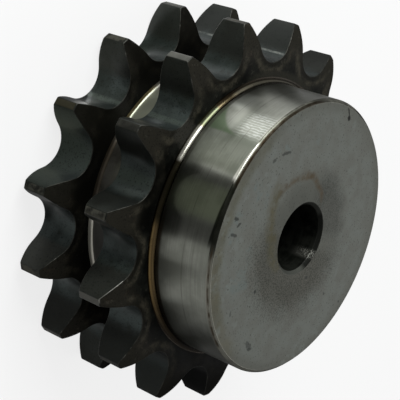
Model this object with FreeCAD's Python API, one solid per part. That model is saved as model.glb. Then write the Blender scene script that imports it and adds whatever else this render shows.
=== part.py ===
import FreeCAD, Part
import math
import os

# Duplex chain sprocket with a hub on one side, turned, hobbed and bored from one piece of steel.
# It stands on its rear face, the open face of the row of teeth that lies away from the hub.
# Sizes are in millimetres. Z is the shaft axis, Z = 0 is the rear face, and the hub points up.
# One tooth of each row points along +Y, and the two rows are in line with each other.

# The chain that the teeth carry
chain_pitch = 15.875
roller_diameter = 10.16
strand_pitch = 16.59
link_plate_height = 14.73

# Teeth
tooth_count = 15
tooth_width = 9.0
tip_height = 3.32
roller_play = 0.06
seating_angle = 126.0
flank_radius = 25.0

# Rounded sides of the teeth, which lead the link plates on
side_relief_radius = 15.875
side_relief_depth = 1.8

# Hub and the neck between the rows
overall_length = 40.0
hub_plate_clearance = 0.98
groove_plate_clearance = 1.23
hub_foot_bevel = 1.1
groove_bevel = 0.8
hub_chamfer = 0.6

# Pilot bore, with a chamfer at each mouth
bore_diameter = 14.0
hub_mouth_chamfer = 0.7
rear_mouth_chamfer = 0.5

# How far a cutting tool runs past the metal
tool_overrun = 1.0

# Worked out from the sizes above
pitch_angle = 2 * math.pi / tooth_count
pitch_degrees = 360 / tooth_count
pitch_radius = chain_pitch / (2 * math.sin(pitch_angle / 2))
root_radius = pitch_radius - roller_diameter / 2
tip_radius = pitch_radius + tip_height
seat_radius = roller_diameter / 2 + roller_play
seat_centre_radius = root_radius + seat_radius
plate_ring_radius = chain_pitch / (2 * math.tan(pitch_angle / 2)) - link_plate_height / 2
hub_radius = plate_ring_radius - hub_plate_clearance
groove_radius = plate_ring_radius - groove_plate_clearance
bore_radius = bore_diameter / 2
front_row_z = strand_pitch
rows_top_z = front_row_z + tooth_width


class Outline:
    # The half section of the blank, drawn edge by edge from a starting point.
    # Each point is a distance from the axis and a height.

    def __init__(self, radius, height):
        self.first = FreeCAD.Vector(radius, 0, height)
        self.here = self.first
        self.edges = []

    def line(self, radius, height):
        end = FreeCAD.Vector(radius, 0, height)
        self.edges.append(Part.LineSegment(self.here, end).toShape())
        self.here = end

    def arc(self, radius, height, centre_radius, centre_height):
        # The shorter arc from here to the point, about the given centre, as an exact rational curve
        end = FreeCAD.Vector(radius, 0, height)
        centre = FreeCAD.Vector(centre_radius, 0, centre_height)
        towards_middle = (self.here + end) * 0.5 - centre
        middle = centre + towards_middle.normalize() * (end - centre).Length
        self.edges.append(Part.Arc(self.here, middle, end).toShape().toNurbs().Edges[0])
        self.here = end

    def face(self):
        self.edges.append(Part.LineSegment(self.here, self.first).toShape())
        return Part.Face(Part.Wire(self.edges))


def draw_row(outline, base_z):
    # The rim of one row, from its lower side face round the tip to its upper side face.
    # Each side is rounded by an arc that leaves the flat side face tangentially.
    top_z = base_z + tooth_width
    drop = side_relief_radius - side_relief_depth
    reach = math.sqrt(side_relief_radius ** 2 - drop ** 2)
    start_radius = tip_radius - reach
    outline.line(start_radius, base_z)
    outline.arc(tip_radius, base_z + side_relief_depth, start_radius, base_z + side_relief_radius)
    outline.line(tip_radius, top_z - side_relief_depth)
    outline.arc(start_radius, top_z, start_radius, top_z - side_relief_radius)


def draw_groove(outline):
    # The neck between the rows, with a narrow bevel in each corner
    corner_radius = groove_radius + groove_bevel
    outline.line(corner_radius, tooth_width)
    outline.line(groove_radius, tooth_width + groove_bevel)
    outline.line(groove_radius, front_row_z - groove_bevel)
    outline.line(corner_radius, front_row_z)


def draw_hub(outline):
    # The bevel at the hub's foot, its outside and its chamfered rim
    outline.line(hub_radius + hub_foot_bevel, rows_top_z)
    outline.line(hub_radius, rows_top_z + hub_foot_bevel)
    outline.line(hub_radius, overall_length - hub_chamfer)
    outline.line(hub_radius - hub_chamfer, overall_length)


def draw_bore(outline):
    # The hub face runs in to the bore, which is chamfered at both mouths
    outline.line(bore_radius + hub_mouth_chamfer, overall_length)
    outline.line(bore_radius, overall_length - hub_mouth_chamfer)
    outline.line(bore_radius, rear_mouth_chamfer)


def turned_blank():
    # The whole part as it leaves the lathe, with plain rims where the teeth will be
    outline = Outline(bore_radius + rear_mouth_chamfer, 0)
    draw_row(outline, 0)
    draw_groove(outline)
    draw_row(outline, front_row_z)
    draw_hub(outline)
    draw_bore(outline)
    return outline.face().revolve(FreeCAD.Vector(0, 0, 0), FreeCAD.Vector(0, 0, 1), 360)


def flank_points(side):
    # One flank of a tooth gap that is centred on +X, on the side of +Y or of -Y.
    # The flank is a convex arc, tangent to the roller seat at the end of the seating angle.
    # Gives the flank's start on the seat, its middle, and its end past the tip circle.
    half_angle = math.radians(seating_angle / 2)
    normal_x = -math.cos(half_angle)
    normal_y = math.sin(half_angle)
    start_x = seat_centre_radius + seat_radius * normal_x
    start_y = seat_radius * normal_y
    centre_x = start_x + flank_radius * normal_x
    centre_y = start_y + flank_radius * normal_y
    outer_radius = tip_radius + tool_overrun
    centre_distance = math.hypot(centre_x, centre_y)
    far_side = centre_distance ** 2 + outer_radius ** 2 - flank_radius ** 2
    swing = math.acos(far_side / (2 * centre_distance * outer_radius))
    end_angle = math.atan2(centre_y, centre_x) - swing
    end_x = outer_radius * math.cos(end_angle)
    end_y = outer_radius * math.sin(end_angle)
    chord_x = (start_x + end_x) / 2 - centre_x
    chord_y = (start_y + end_y) / 2 - centre_y
    stretch = flank_radius / math.hypot(chord_x, chord_y)
    middle_x = centre_x + chord_x * stretch
    middle_y = centre_y + chord_y * stretch
    points = [(start_x, start_y), (middle_x, middle_y), (end_x, end_y)]
    return [FreeCAD.Vector(x, side * y, -tool_overrun) for x, y in points]


def tooth_gap_cutter():
    # The space that the hob clears between two teeth, through both rows, centred on +X
    tip_right, flank_right, seat_right = reversed(flank_points(-1))
    seat_left, flank_left, tip_left = flank_points(1)
    seat_bottom = FreeCAD.Vector(root_radius, 0, -tool_overrun)
    clear_x = tip_radius + 2 * tool_overrun
    corner_left = FreeCAD.Vector(clear_x, tip_left.y, -tool_overrun)
    corner_right = FreeCAD.Vector(clear_x, tip_right.y, -tool_overrun)
    edges = [
        Part.Arc(tip_right, flank_right, seat_right).toShape(),
        Part.Arc(seat_right, seat_bottom, seat_left).toShape(),
        Part.Arc(seat_left, flank_left, tip_left).toShape(),
        Part.LineSegment(tip_left, corner_left).toShape(),
        Part.LineSegment(corner_left, corner_right).toShape(),
        Part.LineSegment(corner_right, tip_right).toShape(),
    ]
    return Part.Face(Part.Wire(edges)).extrude(FreeCAD.Vector(0, 0, rows_top_z + 2 * tool_overrun))


def turned_about_axis(shape, degrees):
    # A copy of the shape, turned about the shaft axis
    copy = shape.copy()
    copy.rotate(FreeCAD.Vector(0, 0, 0), FreeCAD.Vector(0, 0, 1), degrees)
    return copy


def hobbed_sprocket(blank):
    # Cuts the gaps round the rim, starting on +X, then turns the part so that a tooth points along +Y
    cutter = tooth_gap_cutter()
    gaps = [turned_about_axis(cutter, i * pitch_degrees) for i in range(tooth_count)]
    toothed = blank.cut(gaps).removeSplitter().Solids[0]
    return turned_about_axis(toothed, 90 + pitch_degrees / 2)


os.makedirs("parts", exist_ok=True)
sprocket = hobbed_sprocket(turned_blank())
sprocket.exportStep("parts/sprocket.step")
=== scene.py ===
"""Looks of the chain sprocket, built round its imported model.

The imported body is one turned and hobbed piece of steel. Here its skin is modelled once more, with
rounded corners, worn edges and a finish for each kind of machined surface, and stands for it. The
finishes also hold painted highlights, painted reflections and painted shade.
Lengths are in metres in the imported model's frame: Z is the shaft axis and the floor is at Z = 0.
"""

import logging
import math
from collections.abc import Sequence
from dataclasses import dataclass, field
from enum import Enum

import bmesh
import bpy
from mathutils import Matrix, Quaternion, Vector


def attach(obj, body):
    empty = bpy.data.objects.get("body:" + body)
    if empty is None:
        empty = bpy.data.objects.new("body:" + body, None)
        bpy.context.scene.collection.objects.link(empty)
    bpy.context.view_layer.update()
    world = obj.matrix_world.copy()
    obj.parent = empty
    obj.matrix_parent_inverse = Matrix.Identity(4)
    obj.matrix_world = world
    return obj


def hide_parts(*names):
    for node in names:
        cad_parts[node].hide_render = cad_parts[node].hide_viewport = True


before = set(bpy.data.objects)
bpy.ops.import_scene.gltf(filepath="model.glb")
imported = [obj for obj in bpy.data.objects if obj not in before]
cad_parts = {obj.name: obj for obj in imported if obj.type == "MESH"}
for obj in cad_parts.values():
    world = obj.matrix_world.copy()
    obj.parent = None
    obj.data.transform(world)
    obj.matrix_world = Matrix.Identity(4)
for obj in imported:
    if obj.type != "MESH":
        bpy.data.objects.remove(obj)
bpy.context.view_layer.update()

MM = 0.001
ROUND_STEPS = 96
NOISE_GAIN = 4
QUARTER_TURN = 0.25
LOG = logging.getLogger("sprocket")

Colour = tuple[float, float, float]
Triple = tuple[float, float, float]
Socket = bpy.types.NodeSocket
Value = float | Sequence[float] | Socket


class Zone(Enum):
    """A kind of machined surface on the sprocket, each with a finish of its own."""

    GULLET = "hobbed_gullet"
    TIP_LAND = "turned_tip"
    ROW_SIDE = "faced_row_side"
    WORN_EDGE = "worn_tooth_edge"
    NECK = "turned_neck"
    HUB_FOOT = "hub_foot_fillet"
    HUB_OUTSIDE = "turned_hub"
    RIM = "hub_rim_chamfer"
    RIM_EDGE = "worn_rim_edge"
    HUB_FACE = "faced_hub_end"
    BORE_MOUTH = "bore_mouth_chamfer"
    BORE = "drilled_bore"
    REAR_FACE = "faced_rear_end"

    @property
    def slot(self) -> int:
        """The number of the zone's material slot."""
        return list(Zone).index(self)


class Side(Enum):
    """Which side of a tooth row a ring lies on, as the sign of the way in to the row's middle."""

    LOWER = 1
    UPPER = -1


class Lay(Enum):
    """Where the tool marks run: round a turned side, or in rings on a faced end."""

    TURNED = "turned"
    FACED = "faced"


class Texture(Enum):
    """How many layers of detail a noise has, and how rough they are."""

    DRIFT = (3.0, 0.5)
    MARKS = (3.0, 0.55)
    PATCHES = (4.0, 0.6)
    CLOUDS = (4.0, 0.65)
    GRAIN = (2.0, 0.6)
    SHAKE = (2.0, 0.5)


@dataclass(frozen=True)
class ToothForm:
    """The outline of the teeth, the same in both rows.

    Each gap is a roller seat on the pitch circle that runs on into a convex flank on each side.
    """

    chain_pitch: float = 15.875 * MM
    roller_diameter: float = 10.16 * MM
    tooth_count: int = 15
    tip_height: float = 3.319 * MM
    roller_play: float = 0.06 * MM
    seating_angle: float = math.radians(126.0)
    flank_radius: float = 25.0 * MM
    tip_wear: float = 0.13 * MM
    seat_steps: int = 16
    flank_steps: int = 6
    land_steps: int = 2

    @property
    def pitch_angle(self) -> float:
        """The angle from one tooth to the next."""
        return 2 * math.pi / self.tooth_count

    @property
    def pitch_radius(self) -> float:
        """The radius of the circle through the roller centres."""
        return self.chain_pitch / (2 * math.sin(self.pitch_angle / 2))

    @property
    def root_radius(self) -> float:
        """The radius at the bottom of the gaps."""
        return self.pitch_radius - self.roller_diameter / 2

    @property
    def tip_radius(self) -> float:
        """The radius of the turned blank, which is left at the tooth tips."""
        return self.pitch_radius + self.tip_height

    @property
    def seat_radius(self) -> float:
        """The radius of the roller seat."""
        return self.roller_diameter / 2 + self.roller_play

    @property
    def seat_centre_radius(self) -> float:
        """How far from the shaft axis the seat's centre lies."""
        return self.root_radius + self.seat_radius

    @property
    def first_gap_angle(self) -> float:
        """The direction of one gap, with a tooth of each row pointing along +Y."""
        return math.pi / 2 + self.pitch_angle / 2

    def flank_centre(self, side: int) -> Vector:
        """Gives the centre of a flank's arc, with the gap along +X.

        Args:
            side: 1 for the flank towards +Y, -1 for the other.

        Returns:
            The centre, in the plane of the outline.
        """
        half = self.seating_angle / 2
        reach = self.seat_radius + self.flank_radius
        across = self.seat_centre_radius - reach * math.cos(half)
        return Vector((across, side * reach * math.sin(half), 0))

    def seat_end(self, side: int) -> Vector:
        """Gives the point where the seat runs on into a flank, with the gap along +X.

        Args:
            side: 1 for the flank towards +Y, -1 for the other.

        Returns:
            The point, in the plane of the outline.
        """
        half = self.seating_angle / 2
        across = self.seat_centre_radius - self.seat_radius * math.cos(half)
        return Vector((across, side * self.seat_radius * math.sin(half), 0))

    def flank_point(self, side: int, radius: float) -> Vector:
        """Gives the point of a flank that lies at a distance from the axis, with the gap along +X.

        Args:
            side: 1 for the flank towards +Y, -1 for the other.
            radius: the distance from the shaft axis.

        Returns:
            The point, in the plane of the outline.
        """
        centre = self.flank_centre(1)
        far = centre.length
        swing = math.acos((far**2 + radius**2 - self.flank_radius**2) / (2 * far * radius))
        angle = math.atan2(centre.y, centre.x) - swing
        return Vector((radius * math.cos(angle), side * radius * math.sin(angle), 0))

    def tip_point(self, angle: float) -> Vector:
        """Gives the point of the tip circle at an angle from the gap."""
        return Vector((self.tip_radius * math.cos(angle), self.tip_radius * math.sin(angle), 0))


@dataclass(frozen=True)
class Ring:
    """One ring of the body's skin.

    A ring with a radius is a circle. One without lies between the blend circle, at share 0, and
    the outline of the teeth, at share 1, on a side of a row that starts at the given height.
    """

    zone: Zone
    height: float
    radius: float | None = None
    share: float = 1.0
    side: Side = Side.LOWER
    wear: float = 0.0
    wear_zone: Zone = Zone.WORN_EDGE

    @property
    def worn_to(self) -> tuple[float, str]:
        """How far the ring's edges are worn, and the name of the finish that they take."""
        return self.wear, self.wear_zone.value


def clear_selection() -> None:
    """Deselects every object."""
    bpy.ops.object.select_all(action="DESELECT")


@dataclass
class OutlinePen:
    """Draws a wire in edit mode, point by point, from one vertex."""

    name: str
    turn: Matrix
    start: Vector
    piece: bpy.types.Object = field(init=False)
    here: Vector = field(init=False)

    def __post_init__(self) -> None:
        """Sets the first vertex down, by closing up a small plane."""
        self.here = self.turn @ self.start
        clear_selection()
        bpy.ops.mesh.primitive_plane_add(size=MM, location=self.here)
        self.piece = bpy.context.active_object
        self.piece.name = self.name
        self.piece.data.name = self.name
        bpy.ops.object.transform_apply(location=True)
        bpy.ops.object.mode_set(mode="EDIT")
        bpy.ops.mesh.select_all(action="SELECT")
        bpy.ops.mesh.merge(type="CENTER")

    def line(self, end: Vector) -> None:
        """Draws a straight edge.

        Args:
            end: where it ends, before the pen's turn.
        """
        target = self.turn @ end
        bpy.ops.mesh.extrude_region_move(TRANSFORM_OT_translate={"value": target - self.here})
        self.here = target

    def arc(self, end: Vector, centre: Vector, steps: int) -> None:
        """Draws the shorter arc about a centre.

        Args:
            end: where it ends, before the pen's turn.
            centre: its centre, before the pen's turn.
            steps: how many edges it has.
        """
        target, hub = self.turn @ end, self.turn @ centre
        before, after = self.here - hub, target - hub
        swing = math.atan2(before.x * after.y - before.y * after.x, before.dot(after))
        bpy.ops.mesh.spin(steps=steps, angle=-swing, center=hub, axis=(0, 0, 1))
        self.here = target


@dataclass
class SprocketBody:
    """The whole sprocket: two rows of teeth, the neck between them, the hub and the bore."""

    teeth: ToothForm = field(default_factory=ToothForm)
    name: str = "sprocket_steel"
    row_width: float = 9.0 * MM
    row_distance: float = 16.59 * MM
    relief_radius: float = 15.875 * MM
    relief_depth: float = 1.8 * MM
    blend_radius: float = 31.0 * MM
    neck_radius: float = 28.748 * MM
    neck_fillet: float = 0.8 * MM
    hub_radius: float = 28.998 * MM
    hub_fillet: float = 1.1 * MM
    hub_chamfer: float = 0.6 * MM
    overall_length: float = 40.0 * MM
    bore_radius: float = 7.0 * MM
    hub_mouth_chamfer: float = 0.7 * MM
    rear_mouth_chamfer: float = 0.5 * MM
    tooth_wear: float = 0.14 * MM
    rim_wear: float = 0.13 * MM
    mouth_wear: float = 0.1 * MM
    shares: tuple[float, ...] = (0.0, 0.12, 0.24, 0.36, 0.48, 0.6, 0.72, 0.86, 1.0)
    rear_face_radii: tuple[float, ...] = (24 * MM, 16 * MM, 11 * MM)
    hub_face_radii: tuple[float, ...] = (12 * MM, 17 * MM, 23 * MM)
    fillet_steps: int = 6
    bore_steps: int = 6
    hub_steps: int = 4
    wear_segments: int = 3
    merge_distance: float = 0.002 * MM
    tip_skin: float = 0.04 * MM
    smooth_angle: float = math.radians(35)
    piece: bpy.types.Object = field(init=False)

    @property
    def front_row_base(self) -> float:
        """The height of the front row's lower side."""
        return self.row_distance

    @property
    def rows_top(self) -> float:
        """The height of the front row's upper side, where the hub starts."""
        return self.row_distance + self.row_width

    def relief_drop(self, radius: float) -> float:
        """Gives how far a row's side has drawn back from its flat part.

        Args:
            radius: the distance from the shaft axis.

        Returns:
            The drop, which is nothing inside the start of the relief.
        """
        flat = self.relief_radius - self.relief_depth
        start = self.teeth.tip_radius - math.sqrt(self.relief_radius**2 - flat**2)
        past = max(0.0, radius - start)
        return self.relief_radius - math.sqrt(self.relief_radius**2 - past**2)

    def side_rings(self, base: float, side: Side, outward: bool) -> list[Ring]:
        """Lists the rings on one side of a row.

        Args:
            base: the height of the side's flat part.
            side: which side of the row it is.
            outward: True to run from the blend circle to the teeth.

        Returns:
            The rings in order.
        """
        rings = []
        for share in self.shares if outward else self.shares[::-1]:
            wear = self.tooth_wear if share == 1 else 0.0
            rings.append(Ring(Zone.ROW_SIDE, base, share=share, side=side, wear=wear))
        return rings

    def fillet_rings(
        self, zone: Zone, centre: tuple[float, float], size: float, start: float
    ) -> list[Ring]:
        """Lists the rings of a hollow quarter fillet.

        Args:
            zone: the fillet's kind of surface.
            centre: the radius and height of its centre.
            size: its radius.
            start: the angle it starts at, in degrees. It runs on by 90 degrees.

        Returns:
            The rings in order, without the first.
        """
        rings = []
        for step in range(1, self.fillet_steps + 1):
            angle = math.radians(start + 90 * step / self.fillet_steps)
            height = centre[1] + size * math.sin(angle)
            rings.append(Ring(zone, height, centre[0] + size * math.cos(angle)))
        return rings

    def rear_and_bore_rings(self) -> list[Ring]:
        """Lists the rings of the rear face and the bore, from the rear row's side to the hub face."""
        length, bore, wear = self.overall_length, self.bore_radius, self.mouth_wear
        rear_mouth, front_mouth = self.rear_mouth_chamfer, self.hub_mouth_chamfer
        wall = [length * part / self.bore_steps for part in range(1, self.bore_steps)]
        return [
            *(Ring(Zone.REAR_FACE, 0, radius) for radius in self.rear_face_radii),
            Ring(Zone.REAR_FACE, 0, bore + rear_mouth, wear=wear, wear_zone=Zone.BORE_MOUTH),
            Ring(Zone.BORE_MOUTH, rear_mouth, bore, wear=wear, wear_zone=Zone.BORE),
            *(Ring(Zone.BORE, height, bore) for height in wall),
            Ring(Zone.BORE, length - front_mouth, bore, wear=wear, wear_zone=Zone.BORE),
            Ring(Zone.BORE_MOUTH, length, bore + front_mouth, wear=wear, wear_zone=Zone.BORE_MOUTH),
        ]

    def hub_rings(self) -> list[Ring]:
        """Lists the rings of the hub face, the rim, the hub's outside and the fillet at its foot."""
        length, hub, wear = self.overall_length, self.hub_radius, self.rim_wear
        inner, rim = hub - self.hub_chamfer, length - self.hub_chamfer
        foot_top = self.rows_top + self.hub_fillet
        rise = rim - foot_top
        outside = [foot_top + rise * part / self.hub_steps for part in reversed(range(self.hub_steps))]
        return [
            *(Ring(Zone.HUB_FACE, length, radius) for radius in self.hub_face_radii),
            Ring(Zone.HUB_FACE, length, inner, wear=wear, wear_zone=Zone.RIM_EDGE),
            Ring(Zone.RIM, rim, hub, wear=wear, wear_zone=Zone.RIM_EDGE),
            *(Ring(Zone.HUB_OUTSIDE, height, hub) for height in outside),
            *self.fillet_rings(Zone.HUB_FOOT, (hub + self.hub_fillet, foot_top), self.hub_fillet, 180),
        ]

    def neck_rings(self) -> list[Ring]:
        """Lists the rings of the neck, from the front row down to the rear row."""
        low, high, size = self.row_width, self.front_row_base, self.neck_fillet
        reach = self.neck_radius + size
        return [
            Ring(Zone.NECK, high, reach),
            *self.fillet_rings(Zone.NECK, (reach, high - size), size, 90),
            Ring(Zone.NECK, low + size, self.neck_radius),
            *self.fillet_rings(Zone.NECK, (reach, low + size), size, 180),
        ]

    def all_rings(self) -> list[Ring]:
        """Lists every ring, from the rear row's lower edge and back round to its upper edge."""
        gullet = Ring(Zone.GULLET, self.front_row_base, wear=self.tooth_wear)
        return [
            *self.side_rings(0, Side.LOWER, outward=False),
            *self.rear_and_bore_rings(),
            *self.hub_rings(),
            *self.side_rings(self.rows_top, Side.UPPER, outward=True),
            gullet,
            *self.side_rings(self.front_row_base, Side.LOWER, outward=False)[1:],
            *self.neck_rings(),
            *self.side_rings(self.row_width, Side.UPPER, outward=True),
        ]

    def draw_outline(self) -> None:
        """Draws one pitch of the tooth outline as a wire, and repeats it round the axis."""
        form = self.teeth
        axis = Vector((0, 0, 0))
        half = form.pitch_angle / 2
        tip = form.flank_point(1, form.tip_radius)
        corner_angle = math.atan2(tip.y, tip.x) + form.tip_wear / form.tip_radius
        flank_end = form.tip_radius - form.tip_wear
        seat_centre = Vector((form.seat_centre_radius, 0, 0))
        turn = Matrix.Rotation(form.first_gap_angle, 3, "Z")
        pen = OutlinePen(self.name, turn, form.tip_point(-half))
        pen.arc(form.tip_point(-corner_angle), axis, form.land_steps)
        pen.line(form.flank_point(-1, flank_end))
        pen.arc(form.seat_end(-1), form.flank_centre(-1), form.flank_steps)
        pen.arc(form.seat_end(1), seat_centre, form.seat_steps)
        pen.arc(form.flank_point(1, flank_end), form.flank_centre(1), form.flank_steps)
        pen.line(form.tip_point(corner_angle))
        pen.arc(form.tip_point(half), axis, form.land_steps)
        bpy.ops.mesh.select_all(action="SELECT")
        copies = form.tooth_count - 1
        swing = copies * form.pitch_angle
        bpy.ops.mesh.spin(steps=copies, dupli=True, angle=swing, center=axis, axis=(0, 0, 1))
        bpy.ops.mesh.select_all(action="SELECT")
        bpy.ops.mesh.remove_doubles(threshold=self.merge_distance)
        bpy.ops.mesh.select_all(action="SELECT")
        self.piece = pen.piece

    def place_ring(self, mesh: bmesh.types.BMesh, number: int, ring: Ring) -> None:
        """Moves the selected vertices on to a ring.

        Args:
            mesh: the body's mesh in edit mode.
            number: the ring's place in the order.
            ring: the ring.
        """
        reach = mesh.verts.layers.float["reach"]
        order = mesh.verts.layers.int["order"]
        for vert in mesh.verts:
            if not vert.select:
                continue
            vert[order] = number
            out = vert.co.xy.normalized()
            if ring.radius is None:
                radius = self.blend_radius + (vert[reach] - self.blend_radius) * ring.share
                height = ring.height + ring.side.value * self.relief_drop(radius)
            else:
                radius, height = ring.radius, ring.height
            vert.co = (out.x * radius, out.y * radius, height)

    def grow_skin(self, rings: list[Ring]) -> None:
        """Extrudes the outline ring by ring round the whole section, and closes it.

        Args:
            rings: the rings in order, the first of which is the outline itself.
        """
        mesh = bmesh.from_edit_mesh(self.piece.data)
        mesh.verts.layers.float.new("reach")
        mesh.verts.layers.int.new("order")
        reach = mesh.verts.layers.float["reach"]
        for vert in mesh.verts:
            vert[reach] = vert.co.xy.length
        around = len(mesh.verts)
        self.place_ring(mesh, 0, rings[0])
        for number, ring in enumerate(rings[1:], start=1):
            bpy.ops.mesh.extrude_region_move()
            mesh = bmesh.from_edit_mesh(self.piece.data)
            self.place_ring(mesh, number, ring)
            mesh.faces.ensure_lookup_table()
            self.give_zone(mesh.faces[-around:], ring.zone)
            bmesh.update_edit_mesh(self.piece.data)
        for edge in mesh.edges:
            if edge.is_boundary:
                edge.select = True
        mesh.select_flush(True)
        bmesh.update_edit_mesh(self.piece.data)
        faces = len(mesh.faces)
        bpy.ops.mesh.bridge_edge_loops()
        mesh = bmesh.from_edit_mesh(self.piece.data)
        mesh.faces.ensure_lookup_table()
        self.give_zone(mesh.faces[faces:], Zone.GULLET)
        bpy.ops.mesh.select_all(action="SELECT")
        bpy.ops.mesh.normals_make_consistent(inside=False)

    @staticmethod
    def give_zone(faces: Sequence[bmesh.types.BMFace], zone: Zone) -> None:
        """Gives some faces the number of a zone."""
        slot = zone.slot
        for face in faces:
            face.material_index = slot

    def wear_edges(self, rings: list[Ring]) -> None:
        """Rounds the edges that handling and the chain have worn.

        Args:
            rings: the rings that the skin grew by.
        """
        bpy.ops.mesh.select_mode(type="EDGE")
        for kind in sorted({ring.worn_to for ring in rings if ring.wear}):
            wear, zone_name = kind
            numbers = {number for number, ring in enumerate(rings) if ring.worn_to == kind}
            bpy.ops.mesh.select_all(action="DESELECT")
            mesh = bmesh.from_edit_mesh(self.piece.data)
            order = mesh.verts.layers.int["order"]
            for edge in mesh.edges:
                first, second = (vert[order] for vert in edge.verts)
                if first == second and first in numbers:
                    edge.select_set(True)
            bmesh.update_edit_mesh(self.piece.data)
            bpy.ops.mesh.bevel(
                offset=wear, segments=self.wear_segments, affect="EDGES", clamp_overlap=False
            )
            mesh = bmesh.from_edit_mesh(self.piece.data)
            order = mesh.verts.layers.int["order"]
            # The new vertices lie on no ring, so the kinds that follow leave them alone
            for vert in mesh.verts:
                if vert.select:
                    vert[order] = -1
            self.give_zone([face for face in mesh.faces if face.select], Zone(zone_name))
            bmesh.update_edit_mesh(self.piece.data)

    def part_tips(self) -> None:
        """Gives the tooth tips, which the lathe left, a finish of their own."""
        gullet, land = Zone.GULLET.slot, Zone.TIP_LAND.slot
        limit = self.teeth.tip_radius - self.tip_skin
        for polygon in self.piece.data.polygons:
            if polygon.material_index == gullet and polygon.center.xy.length > limit:
                polygon.material_index = land

    def build(self) -> bpy.types.Object:
        """Models the body.

        Returns:
            The body's object, at the origin.
        """
        rings = self.all_rings()
        self.draw_outline()
        self.grow_skin(rings)
        self.wear_edges(rings)
        bpy.ops.object.mode_set(mode="OBJECT")
        self.part_tips()
        clear_selection()
        self.piece.select_set(True)
        bpy.context.view_layer.objects.active = self.piece
        bpy.ops.object.shade_smooth_by_angle(angle=self.smooth_angle)
        weighted = self.piece.modifiers.new("even_shading", "WEIGHTED_NORMAL")
        weighted.keep_sharp = True
        bpy.ops.object.modifier_apply(modifier=weighted.name)
        return self.piece


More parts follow.
